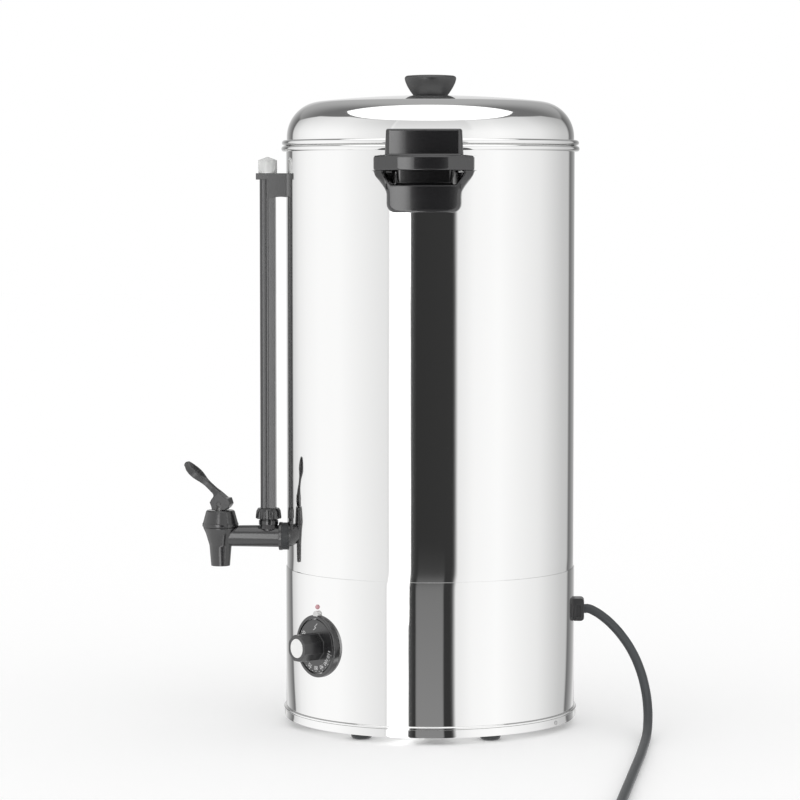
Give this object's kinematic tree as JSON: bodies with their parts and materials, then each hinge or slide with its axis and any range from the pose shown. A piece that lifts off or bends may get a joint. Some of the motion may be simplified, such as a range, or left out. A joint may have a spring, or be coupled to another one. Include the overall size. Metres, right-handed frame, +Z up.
{
  "type": "hot water urn",
  "caption": "Steel hot water urn with a lift-off lid, side handles, a sprung lever tap, a sight gauge, a thermostat dial and a mains cord.",
  "frame": {"origin": "on the urn's axis, in the plane that its feet stand on", "axes": "+Z up along the urn's axis, -Y from the axis to the tap, +X to the handle on the tap's right seen from behind the tap; the cord leaves at +Y"},
  "size_m": [0.8755, 0.4906, 0.6768],
  "materials": {
    "tank_steel": "mirror-polished stainless steel",
    "base_steel": "mirror-polished stainless steel",
    "pan_steel": "plain stainless steel",
    "lid_steel": "mirror-polished stainless steel",
    "foot_rubber": "moulded rubber",
    "screw_steel": "plain steel",
    "knob_plastic": "moulded phenolic, semi-gloss",
    "handle_plastic": "moulded phenolic, semi-gloss",
    "red_silicone": "silicone",
    "plate_aluminium": "cast",
    "element_sheath": "oxidised sheath",
    "switch_plastic": "moulded",
    "thermostat_body": "steatite and steel",
    "copper_tube": "drawn copper",
    "bezel_plastic": "moulded, semi-gloss",
    "dial_plastic": "moulded, semi-gloss",
    "cap_white": "bright white",
    "lamp_body": "moulded nylon",
    "lamp_red": "clear red",
    "block_plastic": "moulded nylon",
    "earth_brass": "turned",
    "wire_sleeve": "silicone sleeve",
    "gland_plastic": "moulded nylon",
    "cord_rubber": "extruded rubber",
    "plug_rubber": "moulded on the cord",
    "pin_nickel": "nickel-plated",
    "tap_plastic": "moulded, glossy",
    "gasket_rubber": "moulded",
    "bonnet_plastic": "moulded, glossy",
    "stem_plastic": "moulded acetal",
    "clear_silicone": "moulded silicone",
    "spring_steel": "drawn wire",
    "lever_plastic": "moulded, glossy",
    "nut_plastic": "moulded, glossy",
    "gauge_glass": "clear borosilicate",
    "guard_plastic": "extruded, glossy",
    "bracket_plastic": "moulded, semi-gloss",
    "cap_nylon": "moulded translucent nylon"
  },
  "bodies": {
    "urn": {"tank": "tank_steel", "tank_floor": "tank_steel", "base_shell": "base_steel", "base_pan": "pan_steel", "feet": "foot_rubber", "pan_screws": "screw_steel", "handle_right": "handle_plastic", "handle_left": "handle_plastic", "wall_screws": "screw_steel", "wall_seals": "red_silicone", "heat_plate": "plate_aluminium", "heating_element": "element_sheath", "cutout_switch": "switch_plastic", "thermostat": "thermostat_body", "thermostat_bulb": "copper_tube", "thermostat_screws": "screw_steel", "dial_bezel": "bezel_plastic", "pilot_lamp": "lamp_body", "pilot_lens": "lamp_red", "terminal_block": "block_plastic", "earth_screw": "earth_brass", "wiring": "wire_sleeve", "cord_gland": "gland_plastic", "cord_lead": "cord_rubber", "cord_coil": "cord_rubber", "cord_tail": "cord_rubber", "plug_body": "plug_rubber", "plug_pins": "pin_nickel", "tap_body": "tap_plastic", "tap_gasket": "gasket_rubber", "tap_seal": "red_silicone", "tap_nut": "screw_steel", "tap_bonnet": "bonnet_plastic", "gauge_nut": "nut_plastic", "gauge_seal": "gasket_rubber", "gauge_tube": "gauge_glass", "gauge_guard": "guard_plastic", "gauge_bracket": "bracket_plastic", "gauge_cap": "cap_nylon"},
    "lid": {"lid": "lid_steel", "lid_ring": "lid_steel", "lid_knob": "knob_plastic", "lid_screw": "screw_steel"},
    "valve": {"tap_stem": "stem_plastic", "seat_cup": "clear_silicone", "tap_spring": "spring_steel", "lever_pin": "screw_steel"},
    "lever": {"tap_lever": "lever_plastic"},
    "dial": {"dial_knob": "dial_plastic", "dial_cap": "cap_white", "thermostat_shaft": "screw_steel"}
  },
  "joints": [
    {"name": "lid_lift", "type": "slide", "parent": "urn", "child": "lid", "axis": [0, 0, 1], "range_m": [0, 0.12]},
    {"name": "stem_lift", "type": "slide", "parent": "urn", "child": "valve", "axis": [0, 0, 1], "range_m": [0, 0.00336], "stiffness_N_per_m": 500, "springref_m": -0.005, "deforming": ["tap_spring"]},
    {"name": "lever_press", "type": "hinge", "parent": "valve", "child": "lever", "pos_m": [0, -0.2208, 0.2285], "axis": [0.9848, -0.1736, 0], "range_deg": [0, 35]},
    {"name": "thermostat_turn", "type": "hinge", "parent": "urn", "child": "dial", "pos_m": [0, 0, 0.0927], "axis": [0.6782, -0.7349, 0], "range_deg": [-255, 0]}
  ],
  "couplings": [
    {"joint": "lever_press", "follows": "stem_lift", "rad_per_m": 181.8}
  ]
}
